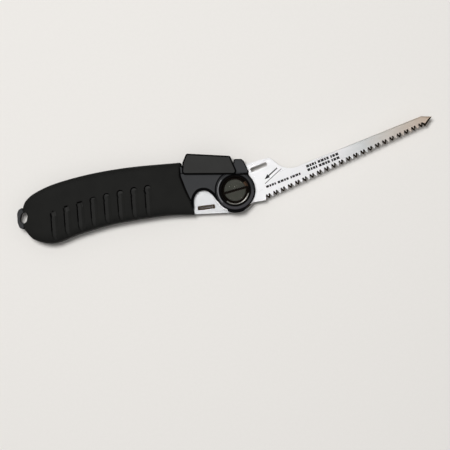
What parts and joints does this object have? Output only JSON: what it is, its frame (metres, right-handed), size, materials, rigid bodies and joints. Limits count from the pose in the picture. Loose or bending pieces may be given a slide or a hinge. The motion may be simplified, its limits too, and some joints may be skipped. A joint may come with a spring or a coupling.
{
  "type": "folding japanese pull saw",
  "caption": "Folding Japanese pull saw: narrow keyhole blade open, wider blade folded in a soft-grip handle with scooped sides, with coin-slot pivot bolt and thumb lock lever.",
  "frame": {"origin": "under the middle of the whole saw's box, on the surface that the saw lies on", "axes": "+X from the tail of the handle to the open blade's tip, +Y from the teeth to the spine, +Z out of the front side"},
  "size_m": [0.2764, 0.0468, 0.02],
  "materials": {
    "frame_nylon": "fine moulded texture",
    "cap_nylon": "fine moulded texture",
    "grip_rubber": "matt",
    "blade_steel": "plated, satin",
    "bolt_steel": "black oxide, oiled",
    "lever_steel": "stamped",
    "pin_steel": "turned",
    "spring_steel": "drawn wire"
  },
  "bodies": {
    "handle": {"frame_front_half": "frame_nylon", "frame_back_half": "frame_nylon", "grip_sleeve": "grip_rubber", "frame_screw_1": "pin_steel", "frame_screw_2": "pin_steel", "frame_screw_3": "pin_steel", "pivot_bolt": "bolt_steel", "pivot_nut": "bolt_steel", "pivot_bush": "pin_steel", "spring_washer": "spring_steel", "washer_front": "pin_steel", "washer_middle": "pin_steel", "washer_back": "pin_steel", "open_stop_pin": "pin_steel", "lever_pin": "pin_steel", "lever_spring": "spring_steel"},
    "keyhole_blade": {"keyhole_blade": "blade_steel"},
    "second_blade": {"second_blade": "blade_steel"},
    "lock_lever": {"lock_lever": "lever_steel", "lever_cap": "cap_nylon", "cap_pin": "pin_steel"}
  },
  "joints": [
    {"name": "keyhole_blade_fold", "type": "hinge", "parent": "handle", "child": "keyhole_blade", "pos_m": [0.00352, -0.00894, 0.01], "axis": [0, 0, 1], "range_deg": [-194, 0]},
    {"name": "second_blade_fold", "type": "hinge", "parent": "handle", "child": "second_blade", "pos_m": [0.00352, -0.00894, 0.01], "axis": [0, 0, 1], "range_deg": [0, 194]},
    {"name": "lock_lever_press", "type": "hinge", "parent": "handle", "child": "lock_lever", "pos_m": [-0.01048, 0.00936, 0.01], "axis": [0, 0, 1], "range_deg": [0, 6], "stiffness_Nm_per_rad": 0.4, "springref_deg": -5.73, "deforming": ["lever_spring"]}
  ]
}
